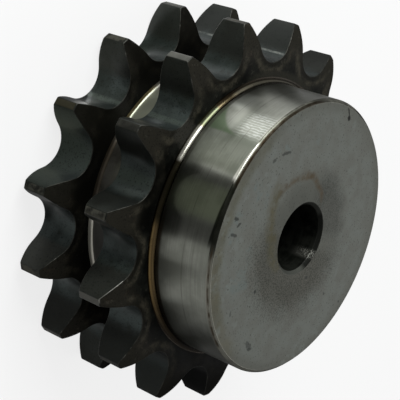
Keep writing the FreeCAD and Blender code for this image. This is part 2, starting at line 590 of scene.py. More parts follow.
@dataclass
class Sketch:
    """Lays down the nodes of one material, in millimetres on the object's own coordinates."""

    name: str
    material: bpy.types.Material = field(init=False)
    shader: bpy.types.Node = field(init=False)
    point: Socket = field(init=False)
    across: Socket = field(init=False)
    angle: Socket = field(init=False)
    height: Socket = field(init=False)

    def __post_init__(self) -> None:
        """Starts the material, and works out each point's place round the axis."""
        self.material = bpy.data.materials.new(self.name)
        self.material.use_nodes = True
        self.shader = self.material.node_tree.nodes["Principled BSDF"]
        where = self.put("ShaderNodeTexCoord", {}, "Object")
        self.point = self.put("ShaderNodeVectorMath", {0: where, "Scale": 1 / MM}, operation="SCALE")
        parts = self.put("ShaderNodeSeparateXYZ", {0: self.point}).node
        flat = self.stretched((1, 1, 0))
        self.across = self.put("ShaderNodeVectorMath", {0: flat}, "Value", operation="LENGTH")
        self.angle = self.math("ARCTAN2", parts.outputs["Y"], parts.outputs["X"])
        self.height = parts.outputs["Z"]

    def fill(self, node: bpy.types.Node, inputs: dict[str | int, Value]) -> None:
        """Links or sets a node's sockets, by name or number."""
        for key, value in inputs.items():
            if isinstance(value, Socket):
                self.material.node_tree.links.new(value, node.inputs[key])
            else:
                node.inputs[key].default_value = value

    def show(self, surface: Socket) -> None:
        """Puts a surface in the place of the shader's own."""
        self.fill(self.material.node_tree.nodes["Material Output"], {"Surface": surface})

    def put(
        self, kind: str, inputs: dict[str | int, Value], output: str | int = 0, **settings: object
    ) -> Socket:
        """Adds a node.

        Args:
            kind: the node's type.
            inputs: what goes into its sockets, by name or number.
            output: the socket wanted from it.
            **settings: its other settings.

        Returns:
            The output socket.
        """
        node = self.material.node_tree.nodes.new(kind)
        for key, value in settings.items():
            setattr(node, key, value)
        self.fill(node, inputs)
        return node.outputs[output]

    def math(self, operation: str, first: Value, second: Value = 0.0, third: Value = 0.0) -> Socket:
        """Adds a Math node and gives its result."""
        return self.put("ShaderNodeMath", {0: first, 1: second, 2: third}, operation=operation)

    def spread(
        self, value: Value, low: float, high: float, to_low: float = 0.0, to_high: float = 1.0
    ) -> Socket:
        """Maps a range of values smoothly on to another, and holds it there past its ends."""
        return self.put(
            "ShaderNodeMapRange",
            {"Value": value, "From Min": low, "From Max": high, "To Min": to_low, "To Max": to_high},
            interpolation_type="SMOOTHSTEP",
        )

    def mix(self, share: Value, first: Value, second: Value) -> Socket:
        """Mixes two colours."""
        inputs: dict[str | int, Value] = {0: share}
        for key, value in ((6, first), (7, second)):
            inputs[key] = (*value, 1.0) if isinstance(value, tuple) else value
        return self.put("ShaderNodeMix", inputs, 2, data_type="RGBA")

    def noise(self, where: Value, scale: float, texture: Texture = Texture.DRIFT) -> Socket:
        """Adds a noise texture and gives its grey value, which keeps round a half."""
        detail, rough = texture.value
        inputs = {"Vector": where, "Scale": scale, "Detail": detail, "Roughness": rough}
        return self.put("ShaderNodeTexNoise", inputs, "Fac")

    def shifted(self, value: Value, grey: Value, amount: float) -> Socket:
        """Shifts a value by half of the amount at most to each side, as a grey value says."""
        return self.math("MULTIPLY_ADD", self.math("SUBTRACT", grey, 0.5), amount, value)

    def stretched(self, factors: Sequence[float]) -> Socket:
        """Gives the point with each of its coordinates multiplied by a factor."""
        return self.put("ShaderNodeVectorMath", {0: self.point, 1: tuple(factors)}, operation="MULTIPLY")

    def rings_point(self, squeeze: float = 0.6) -> Socket:
        """Gives a point that changes fast with the distance from the axis and slowly round it."""
        turn = self.math("MULTIPLY", self.math("SINE", self.angle), squeeze)
        other = self.math("COSINE", self.angle)
        return self.put("ShaderNodeCombineXYZ", {0: turn, 1: other, 2: self.across})

    def facing(self, azimuth: float, half_width: float, soft: float) -> Socket:
        """Gives 1 in a range of directions round the axis and 0 outside it.

        Args:
            azimuth: the middle direction, in degrees.
            half_width: how far the range reaches to each side, in degrees.
            soft: how far beyond that it fades out, in degrees.

        Returns:
            The share.
        """
        near = self.math("COSINE", self.math("SUBTRACT", self.angle, math.radians(azimuth)))
        outer = math.cos(math.radians(half_width + soft))
        return self.spread(near, outer, math.cos(math.radians(half_width)))

    def within(self, value: Value, bounds: tuple[float, float], blur: float) -> Socket:
        """Gives 1 where a value lies within bounds and 0 outside them, with a blur at each."""
        low, high = bounds
        above = self.spread(value, low - blur / 2, low + blur / 2)
        below = self.spread(value, high - blur / 2, high + blur / 2, 1.0, 0.0)
        return self.math("MULTIPLY", above, below)

    def in_gap(self, form: ToothForm) -> Socket:
        """Gives the angle from the middle of the nearest tooth gap."""
        half = form.pitch_angle / 2
        return self.math("WRAP", self.math("SUBTRACT", self.angle, form.first_gap_angle), half, -half)

    def bump(self, height: Value, depth: float, before: Socket | None = None) -> Socket:
        """Adds a bump of a real depth, in millimetres, on top of one laid before."""
        inputs: dict[str | int, Value] = {"Height": height, "Distance": depth * MM, "Strength": 1.0}
        if before is not None:
            inputs["Normal"] = before
        return self.put("ShaderNodeBump", inputs)


@dataclass(frozen=True)
class ArcStain:
    """A stain that runs round the axis and draws nearer to it or away from it on its way."""

    start: tuple[float, float]
    end: tuple[float, float]
    width: float
    colour: Colour
    strength: float
    wander: float = 2.0
    end_blur: float = 12.0
    patchiness: tuple[float, float] = (0.3, 0.6)
    least: float = 0.35

    def paint(self, sketch: Sketch, colour: Socket) -> Socket:
        """Lays the stain over a colour and gives the result."""
        (first_azimuth, first_radius), (last_azimuth, last_radius) = self.start, self.end
        middle = (first_azimuth + last_azimuth) / 2
        half = abs(last_azimuth - first_azimuth) / 2
        off = sketch.math("SUBTRACT", sketch.angle, math.radians(middle))
        off = sketch.math("WRAP", off, math.pi, -math.pi)
        slope = (last_radius - first_radius) / math.radians(last_azimuth - first_azimuth)
        path = sketch.math("MULTIPLY_ADD", off, slope, (first_radius + last_radius) / 2)
        across = sketch.shifted(sketch.across, sketch.noise(sketch.point, 0.3), self.wander)
        away = sketch.math("SUBTRACT", across, path)
        band = sketch.spread(sketch.math("ABSOLUTE", away), 0.0, self.width, self.strength, 0.0)
        where = sketch.math("MULTIPLY", band, sketch.facing(middle, half, self.end_blur))
        patchy = sketch.spread(sketch.noise(sketch.point, 0.8), *self.patchiness, self.least, 1.0)
        return sketch.mix(sketch.math("MULTIPLY", where, patchy), colour, self.colour)


@dataclass(frozen=True)
class Nick:
    """A small dark dent or scuff with broken edges, at a place on a turned face."""

    radius: float
    azimuth: float
    length: float
    width: float
    tilt: float
    strength: float = 0.75
    ragged: float = 1.3
    colour: Colour = (0.020, 0.022, 0.020)
    core: float = 0.55

    def paint(self, sketch: Sketch, colour: Socket) -> Socket:
        """Lays the nick over a colour and gives the result."""
        around = math.radians(self.azimuth)
        centre = (self.radius * math.cos(around), self.radius * math.sin(around), 0)
        flat = sketch.stretched((1, 1, 0))
        off = sketch.put("ShaderNodeVectorMath", {0: flat, 1: centre}, operation="SUBTRACT")
        lean = around + math.radians(self.tilt)
        along = (math.cos(lean) / self.length, math.sin(lean) / self.length, 0)
        aside = (-math.sin(lean) / self.width, math.cos(lean) / self.width, 0)
        squares = []
        for way in (along, aside):
            part = sketch.put("ShaderNodeVectorMath", {0: off, 1: way}, "Value", operation="DOT_PRODUCT")
            squares.append(sketch.math("POWER", part, 2.0))
        reach = sketch.math("SQRT", sketch.math("ADD", *squares))
        reach = sketch.shifted(reach, sketch.noise(sketch.point, 1.1), 2 * self.ragged)
        share = sketch.spread(reach, self.core, 1.0, self.strength, 0.0)
        return sketch.mix(share, colour, self.colour)


@dataclass(frozen=True)
class GapHalo:
    """A heat tint that follows the tooth gaps at a distance, as hardening leaves it."""

    form: ToothForm
    distance: float
    width: float
    colour: Colour
    strength: float
    wander: float = 0.4
    least: float = 0.35
    patchiness: tuple[float, float] = (0.42, 0.62)
    fade: tuple[float, float] = (34.5, 37.5)

    def paint(self, sketch: Sketch, colour: Socket) -> Socket:
        """Lays the tint over a colour and gives the result."""
        local = sketch.in_gap(self.form)
        out = sketch.math("MULTIPLY", sketch.across, sketch.math("COSINE", local))
        aside = sketch.math("MULTIPLY", sketch.across, sketch.math("SINE", local))
        along = sketch.math("SUBTRACT", out, self.form.seat_centre_radius / MM)
        squares = sketch.math("ADD", sketch.math("POWER", along, 2.0), sketch.math("POWER", aside, 2.0))
        away = sketch.math("SUBTRACT", sketch.math("SQRT", squares), self.form.seat_radius / MM)
        away = sketch.shifted(away, sketch.noise(sketch.point, 0.45), self.wander * NOISE_GAIN)
        off = sketch.math("ABSOLUTE", sketch.math("SUBTRACT", away, self.distance))
        band = sketch.spread(off, 0.0, self.width, 1.0, 0.0)
        clouds = sketch.noise(sketch.point, 0.5, Texture.CLOUDS)
        patchy = sketch.spread(clouds, *self.patchiness, self.least, 1.0)
        near_root = sketch.spread(sketch.across, *self.fade, 1.0, 0.0)
        share = sketch.math("MULTIPLY", sketch.math("MULTIPLY", band, patchy), near_root)
        return sketch.mix(sketch.math("MULTIPLY", share, self.strength), colour, self.colour)


@dataclass(frozen=True)
class Patch:
    """A second colour on a part of the piece, within the bounds that are given.

    Azimuths are in degrees and lengths in millimetres. A bound that is left out limits nothing.
    The side is its middle, its half width and its blur. The heights hold at the side's middle, and
    the slant is how much they rise for each degree. Clouds and grains are a size and an amount.
    The patch can be clear of a ball, which is a centre and a radius. Patches serve for stains and
    tints of the steel, and also for painted highlights, painted reflections and painted shade.
    """

    colour: Colour
    strength: float = 1.0
    side: Triple | None = None
    radii: tuple[float, float] | None = None
    heights: tuple[float, float] | None = None
    slant: float = 0.0
    blur: float = 0.2
    wander: float = 0.0
    broken: float = 0.0
    clouds: tuple[float, float] | None = None
    grains: tuple[float, float] | None = None
    clear_of: tuple[Triple, float] | None = None
    clear_blur: float = 0.9
    break_edges: tuple[float, float] = (0.35, 0.6)
    cloud_edges: tuple[float, float] = (0.6, 0.7)
    grain_edges: tuple[float, float] = (0.42, 0.5)

    def masks(self, sketch: Sketch) -> list[Socket]:
        """Gives one share for each of the bounds."""
        found = []
        if self.side is not None:
            found.append(sketch.facing(*self.side))
        height = sketch.height
        if self.slant and self.side is not None:
            turn = sketch.math("SUBTRACT", sketch.angle, math.radians(self.side[0]))
            height = sketch.math("MULTIPLY_ADD", turn, -math.degrees(self.slant), height)
        for value, bounds in ((sketch.across, self.radii), (height, self.heights)):
            if bounds is None:
                continue
            if self.wander:
                value = sketch.shifted(value, sketch.noise(sketch.point, 0.3), 2 * self.wander)
            found.append(sketch.within(value, bounds, self.blur))
        if self.broken:
            gaps = sketch.noise(sketch.point, 0.4)
            found.append(sketch.spread(gaps, *self.break_edges, 1 - self.broken, 1.0))
        if self.clouds is not None:
            size, amount = self.clouds
            cloud = sketch.noise(sketch.point, 1 / size, Texture.CLOUDS)
            low, high = self.cloud_edges
            found.append(sketch.spread(cloud, low - amount, high - amount))
        if self.grains is not None:
            size, amount = self.grains
            grain = sketch.noise(sketch.point, 1 / size, Texture.GRAIN)
            low, high = self.grain_edges
            found.append(sketch.spread(grain, low - amount, high - amount, 1.0, 0.0))
        if self.clear_of is not None:
            centre, reach = self.clear_of
            ends = {0: sketch.point, 1: centre}
            away = sketch.put("ShaderNodeVectorMath", ends, "Value", operation="DISTANCE")
            half = self.clear_blur / 2
            found.append(sketch.spread(away, reach - half, reach + half))
        return found

    def paint(self, sketch: Sketch, colour: Socket) -> Socket:
        """Lays the patch over a colour and gives the result."""
        share: Value = self.strength
        for mask in self.masks(sketch):
            share = sketch.math("MULTIPLY", share, mask)
        return sketch.mix(share, colour, self.colour)


@dataclass(frozen=True)
class ChatterGlint:
    """Fine lines along the axis on one side of a turned surface: chatter marks that a trembling tool
    left, painted as the bright glints of a reflection.
    """

    azimuth: float
    half_width: float
    period: float
    lowest: float
    colour: Colour
    strength: float
    side_blur: float = 4.0
    foot_blur: float = 3.0
    tremble: float = 9.0
    line_edges: tuple[float, float] = (-0.2, 0.9)

    def paint(self, sketch: Sketch, colour: Socket) -> Socket:
        """Lays the lines, as painted glints, over a colour and gives the result."""
        uneven = sketch.noise(sketch.stretched((2, 2, 0.8)), 1.0, Texture.SHAKE)
        shake = sketch.math("MULTIPLY", uneven, self.tremble)
        wave = sketch.math("SINE", sketch.math("MULTIPLY_ADD", sketch.angle, 360 / self.period, shake))
        low, high = self.lowest - self.foot_blur / 2, self.lowest + self.foot_blur / 2
        above = sketch.spread(sketch.height, low, high, 0.0, self.strength)
        beside = sketch.facing(self.azimuth, self.half_width, self.side_blur)
        where = sketch.math("MULTIPLY", beside, above)
        share = sketch.math("MULTIPLY", sketch.spread(wave, *self.line_edges), where)
        return sketch.mix(share, colour, self.colour)


@dataclass(frozen=True)
class FlankTint:
    """A second colour on the flanks of the teeth, past an angle from the middle of the gap."""

    form: ToothForm
    start: float
    blur: float
    colour: Colour
    strength: float

    def paint(self, sketch: Sketch, colour: Socket) -> Socket:
        """Lays the second colour over a colour and gives the result."""
        off = sketch.math("ABSOLUTE", sketch.in_gap(self.form))
        off = sketch.shifted(off, sketch.noise(sketch.point, 0.5), math.radians(2 * self.blur))
        low, high = math.radians(self.start), math.radians(self.start + self.blur)
        return sketch.mix(sketch.spread(off, low, high, 0.0, self.strength), colour, self.colour)


Layer = ArcStain | ChatterGlint | FlankTint | GapHalo | Nick | Patch


@dataclass(frozen=True)
class SteelFinish:
    """How one kind of machined steel surface looks.

    Colours are linear. Sizes are in millimetres. The patches are broad changes of tone, and the
    marks are the fine lines that the tool left. The layers are painted over both, in order: stains,
    wear and tints of the steel, and also painted highlights, painted reflections and painted shade.
    """

    dark: Colour
    light: Colour
    rough: tuple[float, float]
    lay: Lay = Lay.TURNED
    patch_size: float = 6.0
    patch_edges: tuple[float, float] = (0.3, 0.7)
    mark_spacing: float = 0.35
    mark_stretch: float = 0.02
    mark_depth: float = 0.004
    mark_tone: float = 0.35
    grain_size: float = 0.25
    grain_depth: float = 0.002
    grain_share: float = 0.6
    anisotropy: float = 0.0
    metallic: float = 1.0
    specular: float = 0.5
    layers: tuple[Layer, ...] = ()

    def marks(self, sketch: Sketch) -> Socket:
        """Draws the tool marks and gives their grey value."""
        scale = 1 / self.mark_spacing
        if self.lay is Lay.FACED:
            return sketch.noise(sketch.rings_point(), scale, Texture.MARKS)
        slow = scale * self.mark_stretch
        return sketch.noise(sketch.stretched((slow, slow, scale)), 1.0, Texture.MARKS)

    def make(self, name: str) -> bpy.types.Material:
        """Makes the material.

        Args:
            name: the material's name.

        Returns:
            The material.
        """
        sketch = Sketch(name)
        marks = self.marks(sketch)
        patches = sketch.noise(sketch.point, 1 / self.patch_size, Texture.PATCHES)
        patches = sketch.spread(patches, *self.patch_edges)
        toned = sketch.shifted(patches, marks, self.mark_tone * NOISE_GAIN)
        colour = sketch.mix(sketch.spread(toned, 0.0, 1.0), self.dark, self.light)
        for layer in self.layers:
            colour = layer.paint(sketch, colour)
        grain = sketch.noise(sketch.point, 1 / self.grain_size, Texture.GRAIN)
        worn = sketch.shifted(patches, grain, self.grain_share)
        inputs: dict[str | int, Value] = {
            "Base Color": colour,
            "Roughness": sketch.spread(worn, 0.0, 1.0, *self.rough),
            "Normal": sketch.bump(grain, self.grain_depth, sketch.bump(marks, self.mark_depth)),
            "Metallic": self.metallic,
            "Specular IOR Level": self.specular,
        }
        if self.anisotropy:
            inputs["Anisotropic"] = self.anisotropy
            inputs["Anisotropic Rotation"] = QUARTER_TURN
            inputs["Tangent"] = sketch.put("ShaderNodeTangent", {}, direction_type="RADIAL", axis="Z")
        sketch.fill(sketch.shader, inputs)
        return sketch.material


TEETH = ToothForm()
FAR = 99.0
FINISHES: dict[Zone, SteelFinish] = {
    Zone.GULLET: SteelFinish(
        dark=(0.019, 0.0235, 0.0215),
        light=(0.038, 0.047, 0.045),
        rough=(0.3, 0.36),
        patch_size=8.0,
        mark_spacing=1.2,
        mark_tone=0.1,
        metallic=0.65,
        specular=0.1,
        layers=(
            FlankTint(TEETH, 5.6, 1.6, (0.016, 0.0155, 0.0124), 0.7),
            Patch((0.014, 0.015, 0.0125), 0.5, clouds=(1.6, 0.03)),
            # Painted dark reflections: the gullets of the gaps at -162 and -138 degrees are darker
            Patch((0.009, 0.0105, 0.0095), 0.5, side=(-162, 9, 3)),
            Patch((0.012, 0.0145, 0.0135), 0.3, side=(-138, 8, 4)),
            # Painted sheen: the gullets of the gap at -90 degrees are lighter
            Patch((0.027, 0.031, 0.036), 0.5, side=(-90, 9, 3), heights=(0, 12)),
            Patch((0.06, 0.071, 0.067), 0.5, side=(-90, 3.5, 3)),
            Patch((0.058, 0.069, 0.065), 0.5, side=(-90, 9, 3), heights=(0, 12)),
            Patch((0.044, 0.045, 0.038), 0.55, side=(-75, 1.5, 2), radii=(35, FAR), blur=1),
            Patch((0.04, 0.041, 0.036), 0.45, side=(-57.5, 1.5, 2), radii=(35, FAR), blur=1),
            Patch((0.0065, 0.007, 0.006), 0.6, side=(-30, 6.5, 2), radii=(34.5, FAR), blur=1.5),
            Patch((0.011, 0.012, 0.011), 0.6, side=(-177.5, 2, 2), radii=(35, FAR), blur=1),
            Patch((0.16, 0.17, 0.155), 0.55, side=(-168.0, 0.1, 0.25), broken=0.9),
            Patch((0.095, 0.115, 0.1), 0.4, side=(-112.0, 0.2, 1.3), broken=0.4),
            Patch((0.007, 0.008, 0.008), 0.6, grains=(0.35, 0.07)),
            # Painted dark reflections: the gullets of the gaps at -18 and 6 degrees are darker
            Patch((0.01, 0.0125, 0.0115), 0.6, side=(-18, 9, 3), heights=(16, FAR)),
            Patch((0.0015, 0.002, 0.0015), 0.95, side=(6, 9, 3), heights=(16, FAR)),
        ),
    ),
    Zone.TIP_LAND: SteelFinish(
        dark=(0.012, 0.012, 0.01),
        light=(0.048, 0.047, 0.038),
        rough=(0.4, 0.52),
        patch_size=1.5,
        mark_spacing=0.25,
        mark_tone=0.2,
        metallic=0.0,
        specular=0.03,
        layers=(
            Patch((0.098, 0.097, 0.087), 0.85, side=(-126, 4, 2), heights=(16, FAR), broken=0.3),
            Patch((0.014, 0.014, 0.012), 0.7, side=(-102, 4, 2)),
            Patch((0.03, 0.027, 0.016), 0.7, side=(-102, 4, 2), heights=(0, 10)),
            Patch((0.09, 0.089, 0.08), 0.7, side=(-54, 4, 2), heights=(16, FAR)),
        ),
    ),
    Zone.ROW_SIDE: SteelFinish(
        dark=(0.0026, 0.0029, 0.0025),
        light=(0.0092, 0.0096, 0.008),
        rough=(0.36, 0.48),
        lay=Lay.FACED,
        patch_size=3.0,
        mark_spacing=0.5,
        mark_tone=0.1,
        metallic=0.0,
        specular=0.02,
        layers=(
            Patch((0.0185, 0.0172, 0.0132), 0.85, radii=(34.2, FAR), blur=5.5, wander=1.5),
            Patch((0.0255, 0.02, 0.0148), 0.5, radii=(34.0, FAR), blur=2.0, clouds=(2.2, 0.02)),
            Patch((0.002, 0.0026, 0.0028), 0.5, radii=(0, 35), blur=2, clouds=(2.6, 0.02)),
            GapHalo(TEETH, 1.7, 1.3, (0.043, 0.039, 0.0285), 0.9, wander=0.6, least=0.25),
            GapHalo(TEETH, 0.45, 0.5, (0.01, 0.0085, 0.006), 0.7),
            Patch((0.048, 0.046, 0.037), 0.5, clouds=(1.1, 0.0)),
            Patch((0.022, 0.021, 0.016), 0.7, side=(-172, 14, 12), radii=(29.5, 31.4), blur=1,
                  wander=0.6),
            # Painted highlight: a reflection on the row side at -111 degrees
            Patch((0.034, 0.033, 0.028), 0.8, side=(-111, 2.5, 3.5), radii=(30, 34), blur=1, wander=0.8),
            # Painted dark reflection of the hub on the row side near the hub at -87 degrees
            Patch((0.0015, 0.0015, 0.0012), 0.75, side=(-87, 9, 7), radii=(0, 34.2), blur=2.5),
            # Painted shadow: the rear row's sides, which the front row shades, are darker, most at -141,
            # -102 and -78 degrees
            Patch((0.003, 0.003, 0.0025), 0.55, radii=(0, 35.5), heights=(0, 10), blur=2),
            Patch((0.0026, 0.0026, 0.002), 0.8, side=(-141, 14, 7), heights=(0, 10), broken=0.2),
            Patch((0.0032, 0.0031, 0.0022), 0.8, side=(-102, 6, 4), heights=(0, 10), broken=0.15),
            Patch((0.0032, 0.0031, 0.0022), 0.45, side=(-78, 6, 4), heights=(0, 10), broken=0.3),
            Patch((0.003, 0.003, 0.0025), 0.6, grains=(0.35, 0.06)),
            # Painted shadow of the hub on the row sides towards +X
            Patch((0.003, 0.003, 0.0025), 0.85, side=(12, 10, 18)),
        ),
    ),
    Zone.WORN_EDGE: SteelFinish(
        dark=(0.012, 0.013, 0.011),
        light=(0.034, 0.034, 0.029),
        rough=(0.3, 0.42),
        patch_size=1.3,
        mark_tone=0.1,
        metallic=0.7,
        specular=0.2,
        layers=(
            Patch((0.19, 0.187, 0.168), 0.55, radii=(38.0, FAR), blur=4, clouds=(1.8, 0.02)),
            Patch((0.21, 0.207, 0.19), 0.75, side=(-58, 3, 1.5), radii=(36.5, FAR), heights=(20, FAR),
                  broken=0.4),
        ),
    ),
    Zone.NECK: SteelFinish(
        dark=(0.05, 0.046, 0.038),
        light=(0.13, 0.125, 0.108),
        rough=(0.3, 0.36),
        mark_spacing=0.25,
        mark_depth=0.001,
        mark_tone=0.1,
        grain_depth=0.0005,
        metallic=0.7,
        layers=(
            # Painted highlight on the neck at -117 degrees
            Patch((0.33, 0.345, 0.27), 0.85, side=(-117, 8, 6)),
            Patch((0.12, 0.085, 0.03), 0.85, side=(-117, 9, 6), heights=(0, 9.22), blur=0.15),
            Patch((0.045, 0.034, 0.022), 0.85, side=(-88, 11, 5), heights=(0, 9.7)),
            Patch((0.13, 0.128, 0.118), 0.85, side=(-59, 12, 8), heights=(9.6, 16), blur=0.4),
            # Painted highlight on the neck's rear fillet at -59 degrees
            Patch((0.56, 0.545, 0.47), 0.9, side=(-59, 11, 6), heights=(0, 9.5)),
        ),
    ),
    Zone.HUB_FOOT: SteelFinish(
        dark=(0.055, 0.043, 0.024),
        light=(0.125, 0.1, 0.06),
        rough=(0.2, 0.3),
        patch_size=4.0,
        mark_spacing=0.2,
        mark_tone=0.1,
        layers=(
            # Painted highlight on the foot fillet at -160 degrees
            Patch((0.16, 0.15, 0.112), 0.85, side=(-160, 16, 8)),
            Patch((0.25, 0.17, 0.072), 0.9, side=(-60, 6, 24)),
            Patch((0.09, 0.06, 0.028), 0.6, side=(-58, 12, 20), clouds=(2.2, 0.0)),
            # Painted shade on the foot fillet towards +X
            Patch((0.016, 0.011, 0.006), 0.93, side=(10, 26, 42)),
            Patch((0.07, 0.05, 0.026), 0.75, side=(-50, 28, 10), radii=(0, 29.42), blur=0.3),
            # Painted dark reflection at -90 degrees, then a painted highlight strip at -110 and a
            # painted green reflection at -123.5
            Patch((0.012, 0.011, 0.007), 0.92, side=(-90, 10, 6)),
            Patch((0.36, 0.35, 0.31), 0.9, side=(-110, 6.5, 2.5)),
            Patch((0.09, 0.105, 0.065), 0.8, side=(-123.5, 4, 2)),
            Patch((0.01, 0.0065, 0.003), 0.92, radii=(29.78, FAR), blur=0.25, wander=0.15),
            Patch((0.012, 0.009, 0.005), 0.9, side=(-160, 22, 6), radii=(29.5, FAR), blur=0.15),
            # Painted dark reflection along the fillet's edge at the hub
            Patch((0.012, 0.0105, 0.0065), 0.65, radii=(0, 29.12), blur=0.2),
        ),
    ),
    Zone.HUB_OUTSIDE: SteelFinish(
        dark=(0.165, 0.172, 0.147),
        light=(0.222, 0.23, 0.2),
        rough=(0.275, 0.295),
        patch_size=7.0,
        mark_spacing=0.3,
        mark_depth=0.0006,
        grain_depth=0.0,
        anisotropy=0.95,
        layers=(
            # Painted reflections: a light strip at -137.5 degrees and a darker greenish band at -126
            Patch((0.46, 0.48, 0.43), 0.65, side=(-137.5, 2.0, 5), heights=(0, 31.0), blur=3.5),
            Patch((0.13, 0.14, 0.115), 0.6, side=(-126, 7, 5), heights=(32.3, 34.0), blur=0.8),
            # Painted dark reflection: a dark band at -88 degrees with a rounded end
            Patch((0.045, 0.046, 0.038), 0.65, side=(-88, 12, 4), heights=(0, 31.4), blur=2.0,
                  clear_of=((-0.51, -29.0, 32.4), 4.4)),
            Patch((0.045, 0.046, 0.038), 0.5, side=(-88, 11, 5), heights=(0, 28.6), blur=2.0),
            # Painted glints: bright lines on the chatter marks round -126 degrees
            ChatterGlint(-126, 4, 1.25, 33.5, (0.42, 0.44, 0.41), 0.55),
            # Painted reflection: a green patch at -126 degrees with a curved edge, where a tooth gap is
            # reflected
            Patch((0.09, 0.13, 0.072), 0.8, side=(-126, 6.2, 1.6),
                  clear_of=((-21.52, -19.44, 37.0), 10.1)),
            # Painted highlights near the rim at -109 and -131 degrees, and a painted dark reflection
            # near the rim at -90
            Patch((0.56, 0.55, 0.51), 0.85, side=(-109, 5.5, 3), heights=(38.95, 39.6), slant=-0.03,
                  blur=0.3, wander=0.1, broken=0.3),
            Patch((0.32, 0.32, 0.28), 0.5, side=(-131, 10, 4), heights=(39.0, FAR), broken=0.6),
            Patch((0.014, 0.015, 0.011), 0.92, side=(-90, 11, 5), heights=(39.0, FAR), slant=-0.035,
                  blur=0.35, wander=0.1),
            Patch((0.11, 0.112, 0.094), 0.6, heights=(33.15, 33.45), blur=0.2, broken=0.8),
            Patch((0.14, 0.14, 0.12), 0.5, heights=(35.5, 35.7), broken=0.9),
            Patch((0.15, 0.15, 0.13), 0.5, heights=(30.3, 30.5), broken=0.9),
            # Painted dark reflection of the rows round the hub's foot
            Patch((0.06, 0.058, 0.046), 0.8, heights=(0, 27.45), blur=0.5, broken=0.2),
            Patch((0.028, 0.019, 0.01), 0.8, side=(-45, 28, 12), heights=(0, 27.5), blur=0.9),
        ),
    ),
    Zone.RIM: SteelFinish(
        dark=(0.1, 0.1, 0.082),
        light=(0.18, 0.18, 0.15),
        rough=(0.36, 0.48),
        patch_size=3.0,
        layers=(
            # Painted reflection: the rim chamfer is lighter at -30 degrees, and a painted highlight lies
            # on it at -110
            Patch((0.34, 0.34, 0.29), 0.8, side=(-30, 32, 12)),
            Patch((0.24, 0.235, 0.205), 0.7, side=(-110, 7, 3), heights=(0, 39.58)),
            Patch((0.02, 0.013, 0.006), 0.95, side=(-126, 28, 10), heights=(39.63, FAR), wander=0.1,
                  broken=0.3),
            # Painted dark reflection on the rim chamfer at -88 degrees
            Patch((0.01, 0.011, 0.008), 0.95, side=(-88, 10, 6)),
            Patch((0.04, 0.024, 0.01), 0.85, side=(-52, 20, 6), heights=(39.5, 39.8), broken=0.7),
        ),
    ),
    Zone.RIM_EDGE: SteelFinish(
        dark=(0.06, 0.061, 0.049),
        light=(0.15, 0.15, 0.128),
        rough=(0.28, 0.38),
        patch_size=3.0,
        layers=(
            # Painted reflection: the rim edge is lighter at -30 degrees
            Patch((0.23, 0.23, 0.198), 0.75, side=(-30, 32, 12)),
            Patch((0.036, 0.025, 0.013), 0.8, side=(-128, 26, 10), heights=(39.7, FAR), broken=0.45),
            # Painted dark reflection on the rim edge at -88 degrees
            Patch((0.01, 0.011, 0.008), 0.9, side=(-88, 10, 6)),
            # Painted highlight on the rim edge at -110 degrees
            Patch((0.6, 0.59, 0.54), 0.85, side=(-110, 7, 3), heights=(0, 39.6)),
        ),
    ),
    Zone.HUB_FACE: SteelFinish(
        dark=(0.1, 0.104, 0.092),
        light=(0.128, 0.137, 0.124),
        rough=(0.47, 0.53),
        lay=Lay.FACED,
        patch_size=4.5,
        mark_spacing=0.45,
        mark_depth=0.0006,
        mark_tone=0.06,
        grain_size=0.3,
        layers=(
            Patch((0.11, 0.136, 0.13), 0.6, side=(-105, 45, 30), radii=(15.5, 25), blur=4,
                  clouds=(6, 0.04)),
            Patch((0.074, 0.071, 0.04), 0.85, side=(-84, 36, 14), radii=(26.0, FAR), blur=2.6,
                  wander=1.6, broken=0.35),
            Patch((0.09, 0.093, 0.08), 0.75, radii=(26.6, FAR), blur=3.0, wander=0.8),
            Patch((0.092, 0.086, 0.058), 0.5, side=(-45, 20, 14), radii=(25.8, FAR), blur=2.6,
                  wander=0.8, broken=0.5),
            Patch((0.064, 0.066, 0.053), 0.4, radii=(0, 13.5), blur=9, wander=1.5),
            Patch((0.066, 0.069, 0.059), 0.65, side=(-125, 50, 25), radii=(0, 12.5), blur=4, wander=1.5),
            Patch((0.058, 0.057, 0.047), 0.75, side=(5, 60, 40), radii=(0, 15.4), blur=7, wander=3),
            Patch((0.062, 0.064, 0.056), 0.7, side=(142, 22, 25), radii=(0, 14.5), blur=4, wander=2),
            Patch((0.022, 0.023, 0.018), 0.75, side=(5, 65, 45), radii=(0, 17.4), blur=7, wander=3,
                  grains=(0.36, 0.01)),
            Patch((0.14, 0.141, 0.124), 0.4, side=(5, 75, 45), radii=(0, 17), blur=7, wander=3,
                  grains=(0.4, 0.08)),
            Patch((0.032, 0.034, 0.029), 0.6, side=(142, 25, 25), radii=(0, 15), blur=4, wander=2,
                  grains=(0.3, -0.02)),
            ArcStain((-190, 9.8), (-160, 13.4), 1.3, (0.062, 0.046, 0.027), 0.85),
            ArcStain((-160, 13.4), (-120, 14.7), 1.3, (0.064, 0.05, 0.03), 0.8),
            ArcStain((-114, 15.4), (-80, 10.6), 2.8, (0.07, 0.064, 0.038), 0.85),
            ArcStain((-80, 10.6), (-36, 8.6), 2.4, (0.066, 0.062, 0.037), 0.85),
            Patch((0.14, 0.156, 0.144), 0.4, radii=(17, FAR), blur=5, clouds=(3.5, 0.03)),
            Patch((0.035, 0.036, 0.03), 0.8, grains=(0.45, 0.11)),
            Nick(21.5, -132.5, 1.9, 0.42, 69, 0.7, 0.9),
            Nick(22.6, -122.5, 0.6, 0.5, 90, 0.6, 0.8),
            Nick(24.4, -88.6, 1.0, 0.46, 5, 0.8, 0.8),
            Nick(22.9, -86.2, 0.9, 0.4, 40, 0.75, 0.8),
            Nick(23.5, -81.2, 1.3, 0.42, -8, 0.7, 0.8),
            Nick(23.5, -39.5, 0.8, 0.35, 60, 0.55, 0.8),
